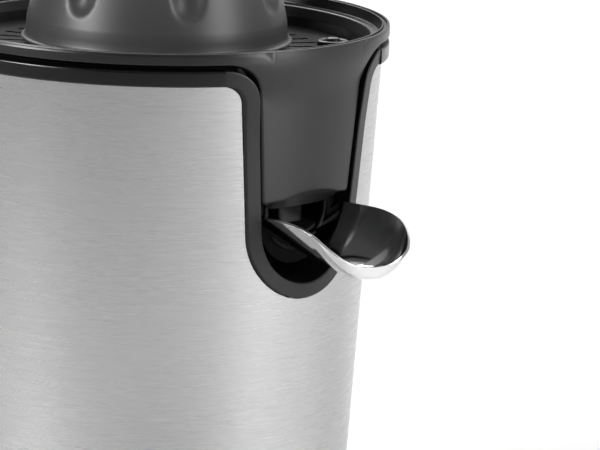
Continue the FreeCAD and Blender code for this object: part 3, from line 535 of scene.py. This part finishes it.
def fluted_cone():
    """Large cone: soft ribs between seven grooves, a brim at its foot, hollow below.

    A groove is cut by a ball that follows an arc in the (r, z) plane: deepest part way up, gone
    near the tip, and round at its foot, where the ball stops."""
    radius, height = 44.7, cone_high.z - rim_z
    wall, brim_r, brim_z = 7.0, cone_high.x, rim_z - 6.6
    ball_r, depth, foot_depth, foot_h = 8.0, 4.2, 2.2, 9.5
    soft = 0.5                # rounding of the groove's edges
    key_reach, key_half = 39.9, 2.8         # slot for the small cone's keys
    line = dome_line(radius, rim_z, height, 16)
    ends = []
    for share, out in ((0.62, ball_r - depth), (0.28, ball_r)):
        r, z, nr, nz = min(line, key=lambda p: abs(p[0] - radius * share))
        ends.append((r + out * nr, z + out * nz))
    foot = min(line, key=lambda p: abs(p[1] - (rim_z + foot_h)))
    foot_out = ball_r - foot_depth
    foot_end = (foot[0] + foot_out * foot[2], foot[1] + foot_out * foot[3])
    centre_r, centre_z, path_r = circle_through(foot_end, *ends)
    flutes, columns = 7, 36
    segments = flutes * columns
    pitch = 2 * math.pi / flutes
    brim = [
        (brim_r - 0.3, brim_z - 0.8),
        (brim_r, brim_z - 0.5),
        (brim_r, brim_z - 0.3),
        (brim_r - 0.35, brim_z),
        (radius + 1.1, brim_z + 0.1),
        (radius + 0.5, brim_z + 0.5),
        (radius + 0.26, brim_z + 1.4),
        (radius + 0.12, brim_z + 3.6),
    ]
    hollow = dome_line(radius - wall, rim_z, height - wall - 2, 6)
    rings = []
    for i in range(segments):
        turn = 2 * math.pi * i / segments
        offset = (turn + pitch / 2) % pitch - pitch / 2
        angle = turn + flute_phase + math.pi / 2
        ring = [(radius - wall, brim_z - 0.8)] + brim
        for r, z, nr, nz in line[:-1]:
            across = min(abs(r * math.sin(offset)), min(ball_r, r) * 0.999)
            reach = path_r - math.hypot(r - centre_r, z - centre_z)
            below = max(foot[1] - z, 0.0)
            cut = math.sqrt(max(ball_r ** 2 - across ** 2 - below ** 2, 0.0))
            cut -= reach + r - math.sqrt(r ** 2 - across ** 2)
            cut = (cut + math.hypot(cut, soft)) / 2 * min((z - rim_z) / 1.5, 1.0) * min(r / 6.0, 1.0)
            ring.append((r - cut * nr, z - cut * nz))
        ring.append((0.0, rim_z + height - 0.1))
        ring += [(r, z) for r, z, nr, nz in reversed(hollow)]
        rings.append([polar(max(r, 0.0), angle, z) for r, z in ring])
    piece = new_piece("fluted_cone", *loft(rings, closed_path=True), sharp=60)
    cut_away(piece, box_shape(-key_reach, key_reach, -key_half, key_half, brim_z - 5, rim_z - 1.5))
    smooth(piece, 60)
    return piece


def finger_tab(name, angle):
    """Raised button in a ring on the strainer, held to lift it out."""
    x, y, top = polar(finger_tab_r, angle, strainer_top)
    ring_section = [(0.02, -0.1), (5.7, -0.1), (5.65, 0.9), (5.4, 1.3), (4.9, 1.45), (4.1, 1.45), (3.7, 1.25)]
    groove_section = [(3.4, 0.7), (3.1, 0.5), (2.8, 0.7)]
    button_section = [(2.6, 1.4), (2.3, 2.0), (1.7, 2.3), (0.9, 2.4), (0.02, 2.4)]
    turns = [math.pi * k / 24 for k in range(48)]
    rings = []
    for r, z in ring_section + groove_section + button_section:
        rings.append([(x + r * math.cos(a), y + r * math.sin(a), top + z) for a in turns])
    return new_piece(name, *loft(rings), sharp=60)


# ---------------------------------------------------------------- spout
def scoop_floor(u):
    """Underside of the scoop on its middle line."""
    return rim_z - scoop_floor_drop - math.tan(scoop_fall) * (u - scoop_ref)


def scoop_edge(u):
    """Height of the scoop's edge: level, then dipping to the tip."""
    share = max((u - scoop_dip_from) / (scoop_reach - scoop_dip_from), 0.0)
    return rim_z - scoop_rim_drop - scoop_dip * share ** 4


def trough(name, back, front, half, radius):
    """Black lining that rests in the scoop between two reaches, as wide as half each way; dressed near-black,
    it is also painted shade at the back of the scoop.
    """
    full = math.asin(half / radius)
    rows, columns, gap = 8, 40, 0.1
    grid = []
    for i in range(rows + 1):
        u = back + (front - back) * i / rows
        low = scoop_floor(u) + scoop_r - radius + gap
        angles = [full * (k / (columns / 2) - 1) for k in range(columns + 1)]
        grid.append([(radius * math.sin(a), -u, low + radius * (1 - math.cos(a))) for a in angles])
    return sheet_piece(name, grid)


def sheet_piece(name, grid):
    """Thin sheet of the scoop's thickness over rows of points, with its edges eased."""
    count = len(grid[0])
    verts = [point for row in grid for point in row]
    faces = [(i * count + k, (i + 1) * count + k, (i + 1) * count + k + 1, i * count + k + 1)
             for i in range(len(grid) - 1) for k in range(count - 1)]
    piece = new_piece(name, verts, faces, sharp=80)
    sheet = piece.modifiers.new("sheet", "SOLIDIFY")
    sheet.thickness, sheet.offset = scoop_t * MM, -1.0
    ease = piece.modifiers.new("ease", "BEVEL")
    ease.width, ease.segments = 0.25 * MM, 3
    ease.limit_method, ease.angle_limit = "ANGLE", math.radians(50)
    return piece


def holder_lip():
    """Rounded front edge of the holder's ring, open at the top like the ring."""
    centre_z = holder_low.z + 19.4
    reach, half_w, half_d = 67.9, 0.9, 0.7      # place along the spout and size of the edge's section
    start = math.asin((holder_high.z - half_w - centre_z) / holder_r)
    steps, around = 120, 12
    rings = []
    for i in range(steps + 1):
        a = start + (-math.pi - 2 * start) * i / steps
        ring = []
        for k in range(around):
            b = 2 * math.pi * k / around
            r = holder_r - half_w + half_w * math.cos(b)
            ring.append((r * math.cos(a), -(reach + half_d * math.sin(b)), centre_z + r * math.sin(a)))
        rings.append(ring)
    return new_piece("holder_lip", *loft(rings), sharp=60)


def pouring_scoop():
    """Thin sheet: rays run from the middle line to the edge, swinging round a centre at the tip."""
    power = 2.47              # of the oval that the tip has in plan
    tip_wall_r, tip_square, ahead, tip_gap = 6.8, 2.6, 0.35, 0.05
    along = scoop_reach - scoop_t - tip_gap - scoop_round_from
    side_rays, tip_rays, steps = 24, 60, 22
    rays = []
    for i in range(side_rays + 1):
        rays.append((scoop_back + (scoop_round_from - scoop_back) * i / side_rays, math.pi / 2))
    for i in range(1, tip_rays + 1):
        rays.append((scoop_round_from, math.pi / 2 - math.pi * i / tip_rays))
    for i in range(side_rays - 1, -1, -1):
        rays.append((scoop_back + (scoop_round_from - scoop_back) * i / side_rays, -math.pi / 2))
    grid = []
    for u0, a in rays:
        forward = math.cos(a) ** 2
        wall_r = scoop_r - (scoop_r - tip_wall_r) * forward
        shape = 2.0 + tip_square * forward
        plan = (abs(math.sin(a) / scoop_r) ** power + abs(math.cos(a) / along) ** power) ** (-1 / power)
        edge_u = u0 + plan * math.cos(a)
        rise = min((scoop_edge(edge_u) - scoop_floor(edge_u)) / wall_r, 0.999)
        full = (1 - (1 - rise) ** shape) ** (1 / shape)
        reach = plan
        if forward <= ahead:
            reach = plan * (full + (1 - full) * min(forward / ahead, 1.0))
        row = []
        for k in range(steps + 1):
            t = math.sin(math.pi / 2 * k / steps)
            s = t * full
            u = u0 + t * reach * math.cos(a)
            z = scoop_floor(u) + wall_r * (1 - (1 - s ** shape) ** (1 / shape))
            row.append((t * reach * math.sin(a), -u, z))
        grid.append(row)
    return sheet_piece("pouring_scoop", grid)


# ---------------------------------------------------------------- materials
def shader(name, colour, rough, metal=0.0, specular=0.5):
    """A new material with its node tree and its main shader."""
    material = bpy.data.materials.new(name)
    material.use_nodes = True
    tree = material.node_tree
    surface = tree.nodes["Principled BSDF"]
    surface.inputs["Base Color"].default_value = (*colour, 1)
    surface.inputs["Roughness"].default_value = rough
    surface.inputs["Metallic"].default_value = metal
    surface.inputs["Specular IOR Level"].default_value = specular
    return material, tree, surface


def coordinates(tree, scale):
    """The piece's own coordinates, stretched by a factor along each axis."""
    where = tree.nodes.new("ShaderNodeTexCoord")
    mapping = tree.nodes.new("ShaderNodeMapping")
    mapping.inputs["Scale"].default_value = scale
    tree.links.new(where.outputs["Object"], mapping.inputs["Vector"])
    return mapping.outputs["Vector"]


def noise(tree, scale, size, detail=4.0, rough=0.55):
    """A random pattern over the piece; a larger size gives finer grain."""
    grain = tree.nodes.new("ShaderNodeTexNoise")
    grain.inputs["Scale"].default_value = size
    grain.inputs["Detail"].default_value = detail
    grain.inputs["Roughness"].default_value = rough
    tree.links.new(coordinates(tree, scale), grain.inputs["Vector"])
    return grain.outputs["Fac"]


def spread(tree, source, low, high, start=0.3, end=0.7):
    """Maps a pattern's middle range onto low..high."""
    level = tree.nodes.new("ShaderNodeMapRange")
    level.inputs["From Min"].default_value = start
    level.inputs["From Max"].default_value = end
    level.inputs["To Min"].default_value = low
    level.inputs["To Max"].default_value = high
    tree.links.new(source, level.inputs["Value"])
    return level.outputs["Result"]


def tint(tree, source, dark, light):
    """A colour that runs from dark to light with a pattern."""
    blend = tree.nodes.new("ShaderNodeMix")
    blend.data_type = "RGBA"
    blend.inputs["A"].default_value = (*dark, 1)
    blend.inputs["B"].default_value = (*light, 1)
    tree.links.new(source, blend.inputs["Factor"])
    return blend.outputs["Result"]


def bump(tree, surface, source, strength, distance):
    """Fine relief from a pattern, with its depth in metres."""
    relief = tree.nodes.new("ShaderNodeBump")
    relief.inputs["Strength"].default_value = strength
    relief.inputs["Distance"].default_value = distance
    tree.links.new(source, relief.inputs["Height"])
    tree.links.new(relief.outputs["Normal"], surface.inputs["Normal"])


def moulded(name, colour, rough, grain=1800.0, strength=0.12, specular=0.5):
    """Moulded plastic: slight shade and gloss variation and a fine spark-eroded grain."""
    material, tree, surface = shader(name, colour, rough, specular=specular)
    slow = noise(tree, (1, 1, 1), 22.0, 3.0)
    dark = tuple(c * 0.93 for c in colour)
    light = tuple(min(c * 1.07, 1.0) for c in colour)
    tree.links.new(tint(tree, spread(tree, slow, 0, 1), dark, light), surface.inputs["Base Color"])
    tree.links.new(spread(tree, slow, rough * 0.92, rough * 1.1), surface.inputs["Roughness"])
    bump(tree, surface, noise(tree, (1, 1, 1), grain, 2.0), strength, 0.00004)
    return material


def brushed(name, colour, rough, direction, anisotropic=0.55, strength=0.10):
    """Metal brushed along one direction: streaks are long that way and fine across it."""
    material, tree, surface = shader(name, colour, rough, metal=1.0)
    streaks = noise(tree, direction, 1.0, 5.0, 0.7)
    broad = noise(tree, tuple(c * 0.22 for c in direction), 1.0, 2.0)
    dark = tuple(c * 0.90 for c in colour)
    light = tuple(min(c * 1.08, 1.0) for c in colour)
    shade = tint(tree, spread(tree, streaks, 0, 1, 0.25, 0.75), dark, light)
    tree.links.new(shade, surface.inputs["Base Color"])
    tree.links.new(spread(tree, broad, rough * 0.88, rough * 1.15), surface.inputs["Roughness"])
    surface.inputs["Anisotropic"].default_value = anisotropic
    tangent = tree.nodes.new("ShaderNodeTangent")
    tangent.direction_type, tangent.axis = "RADIAL", "Z"
    tree.links.new(tangent.outputs["Tangent"], surface.inputs["Tangent"])
    bump(tree, surface, streaks, strength, 0.00002)
    return material


def metal(name, colour, rough, strength=0.05, size=260.0):
    """Plain machined or polished metal with faint wear in its gloss."""
    material, tree, surface = shader(name, colour, rough, metal=1.0)
    wear = noise(tree, (1, 1, 1), size, 4.0)
    tree.links.new(spread(tree, wear, rough * 0.85, rough * 1.25), surface.inputs["Roughness"])
    dark = tuple(c * 0.95 for c in colour)
    tree.links.new(tint(tree, spread(tree, wear, 0, 1), dark, colour), surface.inputs["Base Color"])
    bump(tree, surface, wear, strength, 0.00003)
    return material


jet = (0.004, 0.004, 0.0042)
looks = {
    "brushed_steel": brushed("brushed_steel", (0.58, 0.58, 0.58), 0.28, (120.0, 120.0, 3400.0)),
    "black_trim": moulded("black_trim", jet, 0.22, strength=0.05),
    "black_bezel": moulded("black_bezel", (0.010, 0.010, 0.0103), 0.34, strength=0.10, specular=0.42),
    # inner_plastic: near-black with little gloss; the hidden inner parts' own colour, and painted shade where
    # it dresses the spout holder and the throat lining deep in the pocket
    "inner_plastic": moulded("inner_plastic", (0.002, 0.002, 0.002), 0.6, specular=0.07),
    "base_plastic": moulded("base_plastic", (0.022, 0.022, 0.023), 0.42),
    "rubber": moulded("rubber", (0.015, 0.015, 0.015), 0.75, 900.0, 0.3),
    "zinc_steel": metal("zinc_steel", (0.62, 0.63, 0.64), 0.32),
    "collector_plastic": moulded("collector_plastic", (0.011, 0.011, 0.0113), 0.32, strength=0.06),
    "strainer_plastic": moulded("strainer_plastic", jet, 0.20, strength=0.03, specular=0.28),
    "cone_plastic": moulded("cone_plastic", (0.054, 0.054, 0.0545), 0.40, strength=0.08),
    "polished_steel": metal("polished_steel", (0.90, 0.90, 0.90), 0.09, 0.01, 420.0),
    # outlet_plastic: darker than the collector's plastic; painted shade on the outlet tube and the holder's
    # lip, both deep in the recess
    "outlet_plastic": moulded("outlet_plastic", jet, 0.45, specular=0.12),
    "silicone": moulded("silicone", (0.006, 0.006, 0.006), 0.6, 700.0, 0.1, specular=0.15),
    "shaft_steel": metal("shaft_steel", (0.66, 0.66, 0.67), 0.22),
    "bronze": metal("bronze", (0.62, 0.38, 0.18), 0.35, 0.2, 900.0),
    "gear_plastic": moulded("gear_plastic", (0.62, 0.60, 0.54), 0.40),
    "motor_steel": brushed("motor_steel", (0.50, 0.50, 0.51), 0.38, (12.0, 12.0, 900.0), 0.3),
    "motor_core": metal("motor_core", (0.36, 0.22, 0.12), 0.45, 0.3, 700.0),
    "aluminium": metal("aluminium", (0.70, 0.70, 0.71), 0.34, 0.1, 500.0),
    "spring_steel": metal("spring_steel", (0.45, 0.46, 0.48), 0.28),
    "switch_plastic": moulded("switch_plastic", (0.030, 0.030, 0.032), 0.40),
    "plunger_plastic": moulded("plunger_plastic", (0.55, 0.08, 0.06), 0.40),
}

slot_of = {entry["node"]: entry["material_slot"] for entry in frame["record"]["subparts"]}


def dress(piece, look):
    """Gives a piece one of the looks and nothing else."""
    piece.data.materials.clear()
    piece.data.materials.append(looks[look])


for node_name, node in nodes.items():
    # the spout holder takes the near-black inner plastic instead of its own look: painted shade for the
    # pocket it sits deep in
    dress(node, "inner_plastic" if node_name == "spout_holder" else slot_of[node_name])
    smooth_over = node.modifiers.new("even_normals", "WEIGHTED_NORMAL")
    smooth_over.keep_sharp = True


def place(piece, node, body):
    """Puts a piece in a node's place, with the node's own look and slot."""
    slot = slot_of[node]
    dress(piece, slot)
    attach(piece, body)
    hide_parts(node)


place(steel_sleeve(), "steel_shell", "housing")
place(trim_ring(), "top_trim_ring", "housing")
place(bezel(), "spout_bezel", "housing")
bowl, outlet = juice_bowl()
place(bowl, "juice_collector", "juice_collector")
# the outlet tube is dressed darker than the bowl it belongs to: painted shade in the recess
dress(outlet, "outlet_plastic")
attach(outlet, "juice_collector")
place(fluted_cone(), "large_cone", "large_cone")
place(pouring_scoop(), "spout_scoop", "spout")
# the throat lining and the holder's lip are dressed in the darkest blacks: painted shade deep in the spout's
# pocket
throat = trough("holder_throat", scoop_back, front=67.0, half=21.2, radius=21.6)
ring_edge = holder_lip()
for extra, look in ((throat, "inner_plastic"), (ring_edge, "outlet_plastic")):
    dress(extra, look)
    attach(extra, "spout")
for number, tab_angle in enumerate((55.0, 235.0), 1):
    tab = finger_tab("finger_tab_%d" % number, math.radians(tab_angle))
    dress(tab, "collector_plastic")
    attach(tab, "strainer")


# ---------------------------------------------------------------- floor, lights and camera
def studio():
    """Pale floor, far wider than the view."""
    floor_mesh = bpy.data.meshes.new("floor")
    half = 9.0
    corners = [(-half, -half, 0), (half, -half, 0), (half, half, 0), (-half, half, 0)]
    floor_mesh.from_pydata(corners, [], [(0, 1, 2, 3)])
    floor = bpy.data.objects.new("floor", floor_mesh)
    bpy.context.scene.collection.objects.link(floor)
    pale, tree, surface = shader("pale_floor", (0.92, 0.92, 0.92), 0.6)
    tree.links.new(tint(tree, noise(tree, (1, 1, 1), 3.0), (0.91, 0.91, 0.91), (0.93, 0.93, 0.93)),
                   surface.inputs["Base Color"])
    floor_mesh.materials.append(pale)


def soft_light(name, place_at, target, width, height, power, beam=180.0):
    """A rectangular light aimed at a target; a narrow beam, in degrees, keeps off the rest."""
    data = bpy.data.lights.new(name, "AREA")
    data.spread = math.radians(beam)
    data.shape, data.size, data.size_y, data.energy = "RECTANGLE", width, height, power
    light = bpy.data.objects.new(name, data)
    light.location = place_at
    light.rotation_euler = (Vector(target) - Vector(place_at)).to_track_quat("-Z", "Y").to_euler()
    bpy.context.scene.collection.objects.link(light)


def sky(dim, bright, towards):
    """White surroundings that are brighter on one side."""
    world = bpy.data.worlds.new("studio")
    world.use_nodes = True
    tree = world.node_tree
    where = tree.nodes.new("ShaderNodeTexCoord")
    side = tree.nodes.new("ShaderNodeVectorMath")
    side.operation = "DOT_PRODUCT"
    side.inputs[1].default_value = Vector(towards).normalized()
    tree.links.new(where.outputs["Generated"], side.inputs[0])
    tree.links.new(spread(tree, side.outputs["Value"], dim, bright, -0.6, 0.9),
                   tree.nodes["Background"].inputs["Strength"])
    tree.nodes["Background"].inputs["Color"].default_value = (1, 1, 1, 1)
    bpy.context.scene.world = world


studio()
sky(0.04, 0.40, (0.88, -0.46, 0.1))
middle = (0.0, 0.0, 0.13)
soft_light("front", (0.34, -1.3, 0.42), middle, 0.50, 1.1, 13)
soft_light("side", (1.3, 0.1, 0.6), middle, 0.8, 1.0, 1)
soft_light("high_left", (-1.25, 0.48, 0.66), (0, 0, 0.21), 0.6, 0.5, 1.3, 40.0)
soft_light("over", (0.4, 0.9, 1.2), (0, 0, 0.2), 0.7, 0.7, 5)
soft_light("backdrop", (2.2, 2.2, 2.0), (2.2, 2.2, 0.0), 3.0, 3.0, 95)

# the camera looks down over the front left of the press, slightly tilted to one side
camera_from = Vector((-979.5, -993.3, rim_z + 217.1)) * MM
camera_to = Vector((36.4, -35.9, rim_z - 72.03)) * MM
camera_roll = 0.0286
camera = bpy.data.objects.new("camera", bpy.data.cameras.new("camera"))
bpy.context.scene.collection.objects.link(camera)
forward = (camera_to - camera_from).normalized()
right = forward.cross(Vector((0, 0, 1))).normalized()
up = right.cross(forward)
across = math.cos(camera_roll) * right + math.sin(camera_roll) * up
upward = -math.sin(camera_roll) * right + math.cos(camera_roll) * up
camera.matrix_world = Matrix((
    (across.x, upward.x, -forward.x, camera_from.x),
    (across.y, upward.y, -forward.y, camera_from.y),
    (across.z, upward.z, -forward.z, camera_from.z),
    (0, 0, 0, 1),
))
camera.data.sensor_width = 36.0
camera.data.lens = 246.4
camera.data.clip_start, camera.data.clip_end = 0.1, 30.0
bpy.context.scene.camera = camera
bpy.context.scene.view_settings.view_transform = "Standard"
